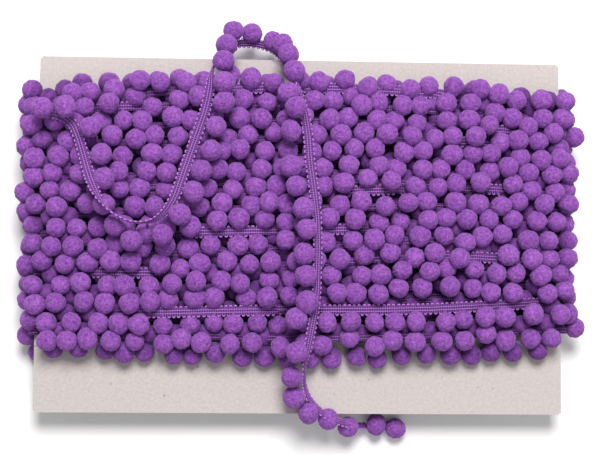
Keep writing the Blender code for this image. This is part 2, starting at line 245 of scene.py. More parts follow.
class PompomKind:
    """A few fuzzy balls of one fineness, to be turned and placed many times."""

    VARIANTS = 9

    def __init__(self, seed, verts, fuzz):
        rng = np.random.default_rng(seed)
        order = np.arange(verts) + 0.5
        height = 1 - 2 * order / verts
        ring = np.sqrt(1 - height ** 2)
        turn = math.pi * (1 + 5 ** 0.5) * order
        self.ways = np.stack((ring * np.cos(turn), ring * np.sin(turn), height), axis=1)
        self.triangles = self.skin(self.ways)
        self.shapes = []
        self.tips = []
        for _ in range(self.VARIANTS):
            reach = self.lumps(rng)
            tips = rng.normal(size=verts).clip(-2.2, 2.2)
            self.shapes.append(self.ways * (reach + fuzz * tips)[:, None])
            self.tips.append(tips)
        self.shapes = np.array(self.shapes)
        self.tips = np.array(self.tips)
        self.uv = self.unwrap()

    @staticmethod
    def skin(points):
        shape = bmesh.new()
        corners = [shape.verts.new(point) for point in points]
        bmesh.ops.convex_hull(shape, input=corners)
        shape.verts.index_update()
        bmesh.ops.recalc_face_normals(shape, faces=shape.faces)
        triangles = np.array([[corner.index for corner in face.verts] for face in shape.faces])
        shape.free()
        return triangles

    def lumps(self, rng):
        """How far a ball reaches each way: soft bulges, pressed flats and at times a parting."""
        reach = np.ones(len(self.ways))
        for _ in range(7):
            wave = rng.normal(size=3) * 2.1
            reach += 0.011 * np.cos(self.ways @ wave + rng.uniform(0, 2 * math.pi))
        for _ in range(3):
            flat = unit(rng.normal(size=3))
            facing = np.maximum(self.ways @ flat, 1e-3)
            pressed = rng.uniform(0.92, 0.98) / facing
            blend = 1 / (1 + np.exp(np.clip((reach - pressed) * -60, -40, 40)))
            reach = reach * (1 - blend) + pressed * blend
        if rng.uniform() < 0.45:
            across, middle = unit(rng.normal(size=(2, 3)))
            off = self.ways @ across - rng.uniform(-0.3, 0.3)
            off += 0.08 * np.sin(self.ways @ middle * 5.0)
            near = np.clip(self.ways @ middle + 0.4, 0.0, 1.0)
            reach -= 0.055 * near * np.exp(-(off / 0.11) ** 2)
        return reach

    def unwrap(self):
        """Two discs side by side, one for each half of the ball: (triangle, corner, u or v)."""
        corners = self.ways[self.triangles]
        upper = corners[:, :, 2].mean(axis=1) >= 0
        height = np.where(upper[:, None], corners[:, :, 2], -corners[:, :, 2])
        spread = 1 / np.sqrt(1 + np.maximum(height, -0.6))
        flat = corners[:, :, :2] * spread[:, :, None]
        u = 0.25 + 0.225 * flat[:, :, 0] + np.where(upper, 0.0, 0.5)[:, None]
        v = 0.5 + 0.45 * flat[:, :, 1]
        return np.stack((u, v), axis=2)


# Seed, points and fuzz of each kind: for the loose end, the front, the back and the inner layer.
POMPOM_KINDS = ((2, 700, 0.026), (3, 380, 0.028), (4, 150, 0.024), (5, 80, 0.018))


def join_pompoms(name, kind, centres, radii, squash, rng, material, wound=True):
    """One object of many pompoms. squash has three scales for each, along X, Y and Z."""
    count = len(centres)
    pick = rng.integers(kind.VARIANTS, size=count)
    turned = np.einsum("nij,nvj->nvi", random_turns(rng, count), kind.shapes[pick])
    points = turned * np.asarray(squash)[:, None, :] * np.asarray(radii)[:, None, None]
    points += np.asarray(centres)[:, None, :]
    verts = points.shape[1]
    offsets = (np.arange(count) * verts)[:, None, None]
    triangles = (kind.triangles[None] + offsets).reshape(-1, 3)
    thing = make_mesh(name, points.reshape(-1, 3), triangles, material)
    tone = np.repeat(rng.normal(size=count).clip(-2, 2), verts)
    add_attribute(thing, "tone", tone)
    # tip, how far each point's fuzz stands out, also sets the yarn's painted shade in the pile.
    add_attribute(thing, "tip", kind.tips[pick].reshape(-1))
    # Only the wound pompoms get the depth that their painted shade is drawn from.
    if wound:
        add_buried_shade(thing, points)
    across = math.ceil(math.sqrt(count / 2))
    down = math.ceil(count / across)
    cell = np.arange(count)
    corner = np.stack((cell % across, cell // across), axis=1)[:, None, None, :]
    uv = (corner + kind.uv[None]) / np.array((across, down))
    add_uv(thing, "OFBake", uv.reshape(-1, 2))
    return thing


# ---- braid ----

# The woven face cut across: place across, height between the cross threads, height on them. Two
# cords run along it, with ladders of cross threads between them and beside them.
WOVEN_FACE = np.array((
    (-1.0, 0.15, 0.25), (-0.88, 0.40, 0.70), (-0.72, 0.08, 0.50), (-0.56, 0.50, 0.80),
    (-0.38, 0.78, 1.05), (-0.20, 0.40, 0.70), (0.0, 0.08, 0.50), (0.20, 0.40, 0.70),
    (0.38, 0.78, 1.05), (0.56, 0.50, 0.80), (0.72, 0.08, 0.50), (0.88, 0.40, 0.70),
    (1.0, 0.15, 0.25),
))
BOTH_FACES = np.concatenate((WOVEN_FACE, WOVEN_FACE[::-1] * (1, -1, -1)))
ONE_FACE = np.concatenate((WOVEN_FACE, ((0.0, -0.5, -0.5),)))
PLAIN_FACE = np.concatenate((WOVEN_FACE[::4], ((0.0, -0.5, -0.5),)))

# Some tube of the trim. weave holds each point's place in the woven ladder; lay holds how far
# along the tube it is and its share of the way round, and girth is the whole way round.
Tube = namedtuple("Tube", "points triangles weave lay girth")


def tube_skin(rings, sides):
    """The triangles of a tube of rings, one after another, with both of its ends closed."""
    j = np.arange(sides)
    start = np.arange(rings - 1)[:, None] * sides
    a = (start + j).ravel()
    b = (start + (j + 1) % sides).ravel()
    k = np.arange(1, sides - 1)
    near = np.stack((np.zeros_like(k), k, k + 1), 1)
    far = np.stack((np.zeros_like(k), k + 1, k), 1) + (rings - 1) * sides
    walls = np.stack((a, b + sides, b), 1), np.stack((a, a + sides, b + sides), 1)
    return np.concatenate((*walls, near, far))


def many_skins(count, rings, sides):
    """The triangles of many such tubes alike."""
    start = np.arange(count)[:, None, None] * rings * sides
    return (tube_skin(rings, sides)[None] + start).reshape(-1, 3)


def make_band(points, across, up, picks, profile):
    """A woven band swept along a line. picks counts the cross threads up to each of its points."""
    thread = (0.5 - 0.5 * np.cos(picks * 2 * math.pi))[:, None]
    wide = profile[:, 0][None, :] * BRAID_HALF * (0.98 + 0.04 * thread)
    deep = (profile[:, 1] + (profile[:, 2] - profile[:, 1]) * thread) * BRAID_THICK / 2
    rings = wide[:, :, None] * across[:, None, :] + deep[:, :, None] * up[:, None, :]
    rings += points[:, None, :]
    size = len(profile)
    weave = np.stack(np.broadcast_arrays(picks[:, None], profile[:, 0][None, :]), axis=2)
    legs = np.linalg.norm(np.diff(points, axis=0), axis=1)
    run = np.concatenate(((0.0,), np.cumsum(legs)))
    lay = np.stack(np.broadcast_arrays(run[:, None], np.arange(size)[None, :] / size), axis=2)
    return Tube(rings.reshape(-1, 3), tube_skin(len(points), size), weave.reshape(-1, 2),
                lay.reshape(-1, 2), 4.6 * BRAID_HALF)


def lay_tubes(count, stages, sides):
    """The lay of many short tubes alike, end to end, from the places of their rings."""
    start = np.arange(count) * stages[-1] * 1.1
    run = start[:, None, None] + np.asarray(stages)[None, :, None]
    share = np.arange(sides)[None, None, :] / sides
    return np.stack(np.broadcast_arrays(run, share), axis=3).reshape(-1, 2)


def make_picots(points, across, up, along, step, sides=5, bends=6):
    """Small thread loops down both edges of a band."""
    count = int(step * (len(points) - 1) / PICOT_PITCH)
    angle = math.pi * np.arange(bends + 1) / bends
    run = -np.cos(angle) * PICOT_PITCH * 0.27
    out = BRAID_HALF * 0.92 + np.sin(angle) * PICOT_REACH
    rim = np.arange(sides) / sides * 2 * math.pi
    found = []
    for edge in (-1, 1):
        for k in range(count):
            i = min(int((k + 0.5 + 0.25 * edge) * PICOT_PITCH / step), len(points) - 1)
            place = points[i] + run[:, None] * along[i] + out[:, None] * edge * across[i]
            way = unit(np.gradient(place, axis=0))
            beside = unit(np.cross(way, up[i]))
            ring = (np.cos(rim)[None, :, None] * beside[:, None, :]
                    + np.sin(rim)[None, :, None] * up[i][None, None, :])
            ring = place[:, None, :] + PICOT_THREAD * ring
            found.append(ring.reshape(-1, 3))
    # The loop's place in the weave, which gives it painted shade: lighter at its outer bend, darker
    # where it leaves the band.
    weave = np.stack((np.full(bends + 1, 0.5), 0.56 - 0.18 * np.sin(angle)), axis=1)
    weave = np.tile(np.repeat(weave, sides, axis=0), (2 * count, 1))
    lay = lay_tubes(2 * count, np.linspace(0.0, 1.4 * PICOT_PITCH, bends + 1), sides)
    skin = many_skins(2 * count, bends + 1, sides)
    return Tube(np.concatenate(found), skin, weave, lay, 2 * math.pi * PICOT_THREAD)


def make_necks(centres, edges, radius):
    """Short tapered threads from the braid's edge into each pompom."""
    sides = 6
    share, thick = np.array(((0.0, 0.60), (0.4, 0.45), (1.0, 1.10))).T
    way = unit(centres - edges)
    start = edges - way * 0.6 * MM
    reach = centres - way * radius * 0.80 - start
    side = unit(np.cross(way, (0.12, 0.21, 0.97)))[:, None, None, :]
    other = np.cross(way[:, None, None, :], side)
    rim = (np.arange(sides) / sides * 2 * math.pi)[:, None]
    middle = start[:, None, None, :] + reach[:, None, None, :] * share[:, None, None]
    ring = np.cos(rim) * side + np.sin(rim) * other
    points = (middle + (thick * MM)[:, None, None] * ring).reshape(-1, 3)
    skin = many_skins(len(centres), len(share), sides)[:, ::-1]
    weave = np.tile((0.5, 0.50), (len(points), 1))
    lay = lay_tubes(len(centres), share * POMPOM_RADIUS, sides)
    return Tube(points, skin, weave, lay, 2 * math.pi * MM)


def lay_flat(tubes):
    """The tubes' skins in rows, one tube under the next: (triangle, corner, u or v)."""
    width = math.sqrt(sum(tube.lay[:, 0].max() * tube.girth for tube in tubes))
    below = 0.0
    found = []
    for tube in tubes:
        run, share = tube.lay[tube.triangles].transpose(2, 0, 1)
        wraps = np.ptp(share, axis=1) > 0.5
        share = share + ((share < 0.5) & wraps[:, None])
        row = np.floor(run.min(axis=1) / width)[:, None]
        v = below + (row + 0.05 + 0.9 * share) * tube.girth
        found.append(np.stack((run - row * width, v), axis=2))
        below += (row.max() + 1) * tube.girth
    found = np.concatenate(found)
    return found / (found.max() * 1.01) + 0.002


def make_braid(name, tubes, material, wound=True):
    """One object of several tubes, with their weave and a flat map of their skins."""
    starts = np.cumsum([0] + [len(tube.points) for tube in tubes[:-1]])
    triangles = np.concatenate([tube.triangles + start for tube, start in zip(tubes, starts)])
    points = np.concatenate([tube.points for tube in tubes])
    braid = make_mesh(name, points, triangles, material)
    # Only the wound braid gets the depth that its painted shade is drawn from.
    if wound:
        add_buried_shade(braid, points)
    weave = np.concatenate([tube.weave for tube in tubes])
    add_attribute(braid, "along", weave[:, 0])
    add_attribute(braid, "across", weave[:, 1])
    add_uv(braid, "OFBake", lay_flat(tubes).reshape(-1, 2))
    return braid


# ---- the loose end ----

def loose_line(steps):
    """The loose braid's middle line, the way it runs, the way across it, and its length."""
    rows = []
    reach = MODEL_BRAID_WIDTH / 2 + 0.3 * MM + MODEL_RADIUS
    for stop in LOOSE_ROUTE:
        rise = math.sin(math.radians(stop.side))
        level = abs(math.cos(math.radians(stop.side)))
        below_pompom = MODEL_RADIUS - reach * rise
        below_braid = (MODEL_BRAID_WIDTH * abs(rise) + MODEL_BRAID_THICK * level) / 2
        height = stop.low * MM + max(below_pompom, below_braid)
        rows.append((stop.x * MM, stop.y * MM, height, stop.face))
    curve, length = smooth_curve(rows, steps)
    points = curve[:, :3]
    along = unit(np.gradient(points, axis=0))
    left = unit(np.cross((0.0, 0.0, 1.0), along))
    above = np.cross(along, left)
    angle = np.radians(curve[:, 3])[:, None]
    side = left * np.cos(angle) + above * np.sin(angle)
    return points, along, side, length


# ---- the wound turns ----

SETTLE_STEPS = 70
SLACK_STEP = 50                     # from here on the turns pull less
PRESSED = 0.92                      # how near two pompoms come, as a share of both their radii
PAIR_REACH = 11.6 * MM              # within this, two pompoms' centres may push each other
HELD_REACH = 6.6 * MM               # and a centre and the outside of a thing that doesn't move
FLAT_STEPS = 120                    # places along each face of a turn's loop
END_STEPS = 38                      # and round each end


def front_drop(x):
    return FRONT_DROP * np.minimum(np.abs(x) / CARD_END, 1.0) ** 4


def loop_line(front, back, end, drop):
    """The loop that a layer's pompoms follow, seen along the card: (x, z) from the left end on."""
    xs = np.linspace(-CARD_END, CARD_END, FLAT_STEPS)
    zs = front - front_drop(xs) * drop
    high = zs[-1]
    angle = np.linspace(0, math.pi, END_STEPS + 2)[1:-1]
    middle = (high + back) / 2
    right = np.stack((CARD_END + end * np.sin(angle), middle + (high - middle) * np.cos(angle)), 1)
    over = np.stack((xs, zs), 1)
    under = np.stack((xs[::-1], np.full(len(xs), back)), 1)
    left = right[::-1] * np.array((-1.0, 1.0))
    line = np.concatenate((over, right, under, left, over[:1]))
    legs = np.linalg.norm(np.diff(line, axis=0), axis=1)
    return line, np.concatenate(((0.0,), np.cumsum(legs)))


def front_y(turn, x):
    """Height up the card of a turn's pompoms over the front, in metres."""
    stations = np.array(STATION_X) * MM
    ys = np.array(turn[2:]) * MM
    x = np.clip(x, stations[0], stations[-1])
    fit = np.polynomial.Polynomial.fit(stations, ys, 4)
    straight = np.interp(x, stations, ys)
    return 0.5 * fit(x) + 0.5 * straight


def turn_targets(turn, following, layer, reach, phase, rng):
    """Where the pompoms of one turn would lie if nothing pushed them, and which are behind.

    reach is the furthest out towards the card's ends that they are seen, and phase, in pompoms,
    sets them beside or between those of the turn above.
    """
    front, back, end, drop = layer
    line, along = loop_line(front, back, end, drop)
    count = int(along[-1] / WOUND_PITCH)
    places = (np.arange(count) + phase % 1.0) * along[-1] / count
    places = places + rng.normal(scale=0.9 * MM, size=count)
    x = np.interp(places, along, line[:, 0], period=along[-1])
    z = np.interp(places, along, line[:, 1], period=along[-1])
    behind = z < (CARD_BOTTOM + CARD_TOP) / 2
    over = front_y(turn, x)
    for stretch in SUNKEN:
        if layer[3] and turn is OUTER_TURNS[stretch.turn]:
            inside = ~behind & (x > stretch.start * MM) & (x < stretch.stop * MM)
            z = z - SUNKEN_DEPTH * inside
    share = (x + CARD_END) / (2 * CARD_END)
    under = (following.far_left + (turn.far_right - following.far_left) * share) * MM
    y = np.where(behind, under, over)
    keep = np.abs(x) < reach
    lift = np.where(behind, 0.0, turn.lift * MM)
    return np.stack((x, y, z + lift), 1)[keep], behind[keep]


def halfway(upper, lower):
    middle = [(a + b) / 2 for a, b in zip(upper[2:], lower[2:])]
    return Turn(upper.braid, 0.0, *middle)


def bare_share(index, x):
    """How far a turn's braid has come up on top at each place over the front, from 0 to 1."""
    share = np.zeros(len(x))
    for stretch in BARE_BRAIDS:
        if stretch.turn == index:
            inside = np.minimum(x / MM - stretch.start, stretch.stop - x / MM)
            share = np.maximum(share, np.clip(inside / 7.0 + 0.5, 0.0, 1.0))
    return share * share * (3 - 2 * share)


def braid_turn(turn, following, index, layer):
    """One turn of a layer's braid: places along it, points, outward ways and bareness.

    index is the turn's number in the outer layer, or -1 for the inner one, which is never bare.
    """
    line, along = loop_line(*layer)
    on_front = along[FLAT_STEPS - 1]
    back_start = along[FLAT_STEPS + END_STEPS - 1]
    back_stop = along[2 * FLAT_STEPS + END_STEPS]
    sparse = np.arange(0, along[-1], 3 * PICK_PITCH)
    if index < 0:
        flat = (sparse < on_front) | ((sparse > back_start) & (sparse < back_stop))
        sparse = sparse[~flat | (np.arange(len(sparse)) % 2 == 0)]
    dense = np.arange(0, on_front, PICK_PITCH / 3)
    bare = bare_share(index, np.interp(dense, along, line[:, 0])) > 0.01
    places = np.union1d(np.round(sparse, 7), np.round(dense[bare], 7))
    x = np.interp(places, along, line[:, 0])
    z = np.interp(places, along, line[:, 1])
    run = np.gradient(line, along, axis=0)
    outward = unit(np.stack((-np.interp(places, along, run[:, 1]), np.zeros(len(places)),
                             np.interp(places, along, run[:, 0])), 1))
    share = np.clip((x + CARD_END) / (2 * CARD_END), 0.0, 1.0)
    under = (following.far_left + (turn.far_right - following.far_left) * share) * MM
    turned = np.clip((places - back_start) / (back_stop - back_start), 0.0, 1.0)
    side = turn.braid * (1 - turned) + following.braid * turned
    wander = 0.6 * MM * np.sin(x / (31.0 * MM) + index * 1.7) * (1 - (2 * share - 1) ** 2)
    front = places <= on_front
    y = np.where(front | (places < back_start), front_y(turn, x) + wander, under)
    bareness = bare_share(index, x) * front
    sway = 0.9 * MM * np.sin(x / (19.0 * MM) + index * 2.3) * front * (1 - bareness)
    points = np.stack((x, y + side * BRAID_OFFSET, z), 1)
    points += outward * ((BARE_LIFT - COVERED_LIFT) * bareness + sway)[:, None]
    return places, points, outward, bareness


def outer_braid():
    """The turns of the outer layer's braid, from the top one down."""
    layer = (CARD_TOP + COVERED_LIFT, BRAID_BACK, BRAID_END, True)
    return [braid_turn(turn, next_turn(i), i, layer) for i, turn in enumerate(OUTER_TURNS)]


def inner_braid():
    """The turns of the layers under it: one a little off the card, and one close wound on it."""
    rows = [halfway(turn, next_turn(i)) for i, turn in enumerate(OUTER_TURNS)]
    layer = (CARD_TOP + INNER_BRAID_LIFT, CARD_BOTTOM - INNER_BRAID_LIFT, INNER_BRAID_LIFT, True)
    turns = [braid_turn(row, below, -1, layer) for row, below in zip(rows, rows[1:])]
    layer = (CARD_TOP + CARD_BRAID_LIFT, CARD_BOTTOM - CARD_BRAID_LIFT, CARD_BRAID_LIFT, False)
    for row, below in zip(OUTER_TURNS, OUTER_TURNS[1:]):
        count = math.ceil((row.middle - below.middle) / (2 * BRAID_HALF / MM) + 0.2)
        for share in np.arange(count) / count:
            close = Turn(0, 0.0, *(a + (b - a) * share for a, b in zip(row[2:], below[2:])))
            turns.append(braid_turn(close, close, -1, layer))
    return turns


def next_turn(index):
    return OUTER_TURNS[index + 1] if index + 1 < len(OUTER_TURNS) else BOTTOM_TURN


def push_apart(gap, want):
    """The way and the distance to go to make each gap as long as is wanted."""
    far = np.linalg.norm(gap, axis=1)
    return gap / np.maximum(far, 1e-9)[:, None] * np.maximum(want - far, 0.0)[:, None]


def neighbours(centres, fixed, fixed_radii):
    """The pairs of pompoms near each other, and the pompoms near each fixed thing."""
    tree = kdtree.KDTree(len(centres))
    for i, point in enumerate(centres):
        tree.insert(point, i)
    tree.balance()
    pairs = []
    for i, point in enumerate(centres):
        pairs += [(i, j) for _, j, _ in tree.find_range(point, PAIR_REACH) if j > i]
    held = []
    for k, point in enumerate(fixed):
        reach = float(fixed_radii[k]) + HELD_REACH
        held += [(i, k) for _, i, _ in tree.find_range(point, reach)]
    return np.array(pairs).T, np.array(held).T


def settle(centres, radii, targets, fixed, fixed_radii):
    """Push overlapping pompoms apart while each is drawn back to its place on the turn."""
    furthest_left, furthest_right = CARD_END + 5.0 * MM, CARD_END + 2.4 * MM
    for step in range(SETTLE_STEPS):
        if step % 6 == 0:
            (a, b), (i, k) = neighbours(centres, fixed, fixed_radii)
        pull = 0.16 if step < SLACK_STEP else 0.07
        centres = centres + pull * (targets - centres)
        want = (radii[a] + radii[b]) * PRESSED
        move = push_apart(centres[a] - centres[b], want) * 0.5
        np.add.at(centres, a, move * 0.8)
        np.add.at(centres, b, -move * 0.8)
        move = push_apart(centres[i] - fixed[k], radii[i] * 0.96 + fixed_radii[k])
        np.add.at(centres, i, move * 0.7)
        centres[:, 0] = np.clip(centres[:, 0], -furthest_left, furthest_right)
        over_card = np.abs(centres[:, 0]) < CARD_END + 1.0 * MM
        front = centres[:, 2] > (CARD_TOP + CARD_BOTTOM) / 2
        lowest = CARD_TOP + radii * 0.97
        highest = CARD_BOTTOM - radii * 0.90
        z = centres[:, 2]
        z = np.where(over_card & front, np.maximum(z, lowest), z)
        z = np.where(over_card & ~front, np.minimum(z, highest), z)
        centres[:, 2] = np.maximum(z, radii)
    return centres


# ---- materials ----

def shader_group(name, inputs, outputs):
    """An empty shader node group: inputs and outputs are (name, socket type, default)."""
    group = bpy.data.node_groups.new(name, "ShaderNodeTree")
    for label, kind, value in inputs:
        socket = group.interface.new_socket(name=label, in_out="INPUT", socket_type=kind)
        if value is not None:
            socket.default_value = value
    for label, kind in outputs:
        group.interface.new_socket(name=label, in_out="OUTPUT", socket_type=kind)
    start = group.nodes.new("NodeGroupInput")
    end = group.nodes.new("NodeGroupOutput")
    return group, start, end


class Nodes:
    """Short ways to add and join the nodes of one tree."""

    def __init__(self, tree):
        self.tree = tree

    def add(self, kind, **settings):
        node = self.tree.nodes.new(kind)
        for key, value in settings.items():
            setattr(node, key, value)
        return node

    def place(self):
        return self.add("ShaderNodeTexCoord").outputs["Object"]

    def stored(self, name):
        return self.add("ShaderNodeAttribute", attribute_name=name).outputs["Fac"]

    def plug(self, value, socket):
        if isinstance(value, bpy.types.NodeSocket):
            self.tree.links.new(value, socket)
        elif value is not None:
            socket.default_value = value

    def math(self, operation, a, b=None, clamp=False):
        node = self.add("ShaderNodeMath", operation=operation, use_clamp=clamp)
        self.plug(a, node.inputs[0])
        self.plug(b, node.inputs[1])
        return node.outputs[0]

    def total(self, a, weight_a, b, weight_b=1.0, clamp=False):
        """The sum of two values, each in its own weight."""
        if weight_a != 1.0:
            a = self.math("MULTIPLY", a, weight_a)
        if weight_b != 1.0:
            b = self.math("MULTIPLY", b, weight_b)
        return self.math("ADD", a, b, clamp)

    def noise(self, vector, scale, detail=2.0, roughness=0.5):
        node = self.add("ShaderNodeTexNoise")
        self.plug(vector, node.inputs["Vector"])
        self.plug(scale, node.inputs["Scale"])
        node.inputs["Detail"].default_value = detail
        node.inputs["Roughness"].default_value = roughness
        return node.outputs["Fac"]

    def spread(self, value, low, high, to_low=0.0, to_high=1.0):
        node = self.add("ShaderNodeMapRange")
        for socket, given in zip(node.inputs, (value, low, high, to_low, to_high)):
            self.plug(given, socket)
        return node.outputs["Result"]

    def mix(self, factor, a, b, blend="MIX"):
        node = self.add("ShaderNodeMix", data_type="RGBA", blend_type=blend)
        self.plug(factor, node.inputs["Factor"])
        colours = [socket for socket in node.inputs if socket.type == "RGBA"]
        self.plug(a, colours[0])
        self.plug(b, colours[1])
        return next(socket for socket in node.outputs if socket.type == "RGBA")

    def scaled(self, vector, scale):
        node = self.add("ShaderNodeMapping")
        self.plug(vector, node.inputs["Vector"])
        node.inputs["Scale"].default_value = scale
        return node.outputs["Vector"]


def rgb(red, green, blue):
    return (red, green, blue, 1.0)


def cut_fibre_group():
    """Cut yarn ends packed close: a mottled value and a height, at the scale of the fibres."""
    group, start, end = shader_group(
        "cut fibre",
        (("Vector", "NodeSocketVector", None), ("Clump Scale", "NodeSocketFloat", 600.0),
         ("Fibre Scale", "NodeSocketFloat", 1700.0)),
        (("Mottle", "NodeSocketFloat"), ("Height", "NodeSocketFloat")),
    )
    n = Nodes(group)
    clumps = n.noise(start.outputs["Vector"], start.outputs["Clump Scale"], 3.0, 0.6)
    fibres = n.noise(start.outputs["Vector"], start.outputs["Fibre Scale"], 2.0, 0.7)
    mottle = n.total(clumps, 0.30, fibres, 0.70)
    n.plug(n.spread(mottle, 0.38, 0.62), end.inputs["Mottle"])
    n.plug(n.total(clumps, 0.6, fibres), end.inputs["Height"])
    return group


def twisted_thread_group():
    """Threads twisted and woven side by side: a stripe value and a height."""
    group, start, end = shader_group(
        "twisted thread",
        (("Vector", "NodeSocketVector", None), ("Thread Scale", "NodeSocketFloat", 1500.0)),
        (("Stripe", "NodeSocketFloat"), ("Height", "NodeSocketFloat")),
    )
    n = Nodes(group)
    threads = n.noise(start.outputs["Vector"], start.outputs["Thread Scale"], 3.0, 0.65)
    n.plug(n.spread(threads, 0.35, 0.65), end.inputs["Stripe"])
    n.plug(threads, end.inputs["Height"])
    return group


def new_material(name, roughness, specular):
    material = bpy.data.materials.new(name)
    material.use_nodes = True
    shader = material.node_tree.nodes["Principled BSDF"]
    shader.inputs["Roughness"].default_value = roughness
    shader.inputs["Specular IOR Level"].default_value = specular
    return material, shader, Nodes(material.node_tree)


def use_group(n, group, **values):
    node = n.add("ShaderNodeGroup", node_tree=group)
    for label, value in values.items():
        n.plug(value, node.inputs[label.replace("_", " ")])
    return node.outputs


def set_sheen(shader, weight, roughness, tint):
    shader.inputs["Sheen Weight"].default_value = weight
    shader.inputs["Sheen Roughness"].default_value = roughness
    shader.inputs["Sheen Tint"].default_value = tint


def bump(n, height, distance, strength, shader):
    node = n.add("ShaderNodeBump")
    node.inputs["Distance"].default_value = distance
    node.inputs["Strength"].default_value = strength
    n.plug(height, node.inputs["Height"])
    n.plug(node.outputs["Normal"], shader.inputs["Normal"])


def paint_buried_shade(n, colour):
    """The colour with painted shade, darker where the trim lies under other trim."""
    buried_shade = n.stored("buried_shade")
    # Painted shade: the deeper a point lies in the winding, the more its colour is multiplied down
    # towards this dark grey.
    deep = n.mix(buried_shade, rgb(1.0, 1.0, 1.0), rgb(0.40, 0.34, 0.44))
    return n.mix(1.0, colour, deep, "MULTIPLY")


def pompom_material(cut_fibre):
    material, shader, n = new_material("pompom yarn", 0.95, 0.12)
    place = n.place()
    fibre = use_group(n, cut_fibre, Vector=place)
    tone = n.stored("tone")
    tip = n.stored("tip")
    # Painted shade in the pile: the yarn is drawn lighter where its fuzz stands out and darker in the
    # pits between; the mottle is the yarn's own uneven colour.
    light = n.total(fibre["Mottle"], 0.55, n.spread(tip, -2.0, 2.0, 0.0, 0.50), clamp=True)
    yarn = n.mix(light, rgb(0.106, 0.018, 0.205), rgb(0.445, 0.162, 0.625))
    shade = n.spread(tone, -2.0, 2.0, 0.0, 1.0)
    varied = n.mix(shade, rgb(0.86, 0.83, 0.88), rgb(1.0, 1.0, 1.0))
    yarn = n.mix(1.0, yarn, varied, "MULTIPLY")
    # Painted shade: the yarn is darkened deep in the winding.
    n.plug(paint_buried_shade(n, yarn), shader.inputs["Base Color"])
    set_sheen(shader, 0.38, 0.45, rgb(0.70, 0.40, 0.94))
    bump(n, fibre["Height"], 0.00045, 1.0, shader)
    return material


def woven_ladder_group():
    """The braid's weave from its place along and across: how high it stands, from 0 to 1."""
    group, start, end = shader_group(
        "woven ladder",
        (("Along", "NodeSocketFloat", 0.0), ("Across", "NodeSocketFloat", 0.0)),
        (("Rise", "NodeSocketFloat"),),
    )
    n = Nodes(group)
    wave = n.math("COSINE", n.math("MULTIPLY", start.outputs["Along"], 2 * math.pi))
    rung = n.spread(wave, 0.2, -1.0, 0.0, 0.38)
    off = n.math("ABSOLUTE", start.outputs["Across"])
    cord = n.spread(n.math("ABSOLUTE", n.math("SUBTRACT", off, 0.38)), 0.04, 0.17, 1.0, 0.0)
    edge = n.spread(n.math("ABSOLUTE", n.math("SUBTRACT", off, 0.96)), 0.02, 0.12, 0.25, 0.0)
    cord = n.math("MULTIPLY", cord, n.spread(wave, 1.0, -0.4, 0.74, 1.0))
    rise = n.math("MAXIMUM", n.math("MAXIMUM", cord, edge), rung)
    n.plug(rise, end.inputs["Rise"])
    return group


def braid_material(twisted, ladder):
    material, shader, n = new_material("braid", 0.75, 0.15)
    place = n.place()
    thread = use_group(n, twisted, Vector=place)
    along = n.stored("along")
    across = n.stored("across")
    weave = use_group(n, ladder, Along=along, Across=across)
    # Painted shade in the weave: threads are drawn lighter where they stand high and near black in
    # the grooves and gaps between them; the stripe is the thread's own uneven colour.
    lit = n.total(weave["Rise"], 0.87, thread["Stripe"], 0.13, clamp=True)
    weave_with_painted_shade = n.mix(lit, rgb(0.040, 0.006, 0.098), rgb(0.540, 0.222, 0.720))
    # Painted shade: the braid is darkened deep in the winding.
    n.plug(paint_buried_shade(n, weave_with_painted_shade), shader.inputs["Base Color"])
    set_sheen(shader, 0.08, 0.4, rgb(0.75, 0.5, 1.0))
    bump(n, n.total(weave["Rise"], 1.0, thread["Height"], 0.35), 0.00035, 0.7, shader)
    return material


def greyboard_material():
    material, shader, n = new_material("greyboard", 0.9, 0.2)
    place = n.place()
    pulp = n.noise(place, 700.0, 4.0, 0.75)
    fibres = n.noise(n.scaled(place, (1.0, 6.0, 1.0)), 320.0, 4.0, 0.7)
    cloud = n.noise(place, 22.0, 2.0, 0.5)
    board = n.mix(n.spread(pulp, 0.35, 0.65), rgb(0.485, 0.438, 0.428), rgb(0.575, 0.525, 0.514))
    board = n.mix(n.spread(fibres, 0.56, 0.72, 0.0, 0.35), board, rgb(0.65, 0.605, 0.59))
    board = n.mix(n.spread(cloud, 0.35, 0.65, 0.0, 0.12), board, rgb(0.56, 0.52, 0.51))
    speck = n.add("ShaderNodeTexVoronoi")
    n.plug(place, speck.inputs["Vector"])
    speck.inputs["Scale"].default_value = 190.0
    near = n.spread(speck.outputs["Distance"], 0.06, 0.13, 1.0, 0.0)
    rare = n.math("GREATER_THAN", n.noise(place, 75.0, 1.0), 0.57)
    board = n.mix(n.math("MULTIPLY", n.math("MULTIPLY", near, rare), 0.75), board,
                  rgb(0.23, 0.19, 0.17))
    facing = n.add("ShaderNodeSeparateXYZ")
    n.plug(n.add("ShaderNodeNewGeometry").outputs["Normal"], facing.inputs[0])
    upright = n.math("LESS_THAN", n.math("ABSOLUTE", facing.outputs["Z"]), 0.5)
    plies = n.noise(n.scaled(place, (0.04, 0.04, 1.0)), 2600.0, 2.0, 0.6)
    edge = n.mix(n.spread(plies, 0.35, 0.65), rgb(0.40, 0.36, 0.33), rgb(0.62, 0.57, 0.54))
    n.plug(n.mix(upright, board, edge), shader.inputs["Base Color"])
    bump(n, n.total(pulp, 1.0, fibres, 0.6), 0.00012, 0.5, shader)
    return material


def floor_material():
    material, shader, n = new_material("pale floor", 0.8, 0.1)
    place = n.place()
    soft = n.noise(place, 6.0, 2.0, 0.5)
    n.plug(n.mix(n.spread(soft, 0.3, 0.7), rgb(0.93, 0.93, 0.935), rgb(0.95, 0.95, 0.95)),
           shader.inputs["Base Color"])
    return material


# ---- stage ----

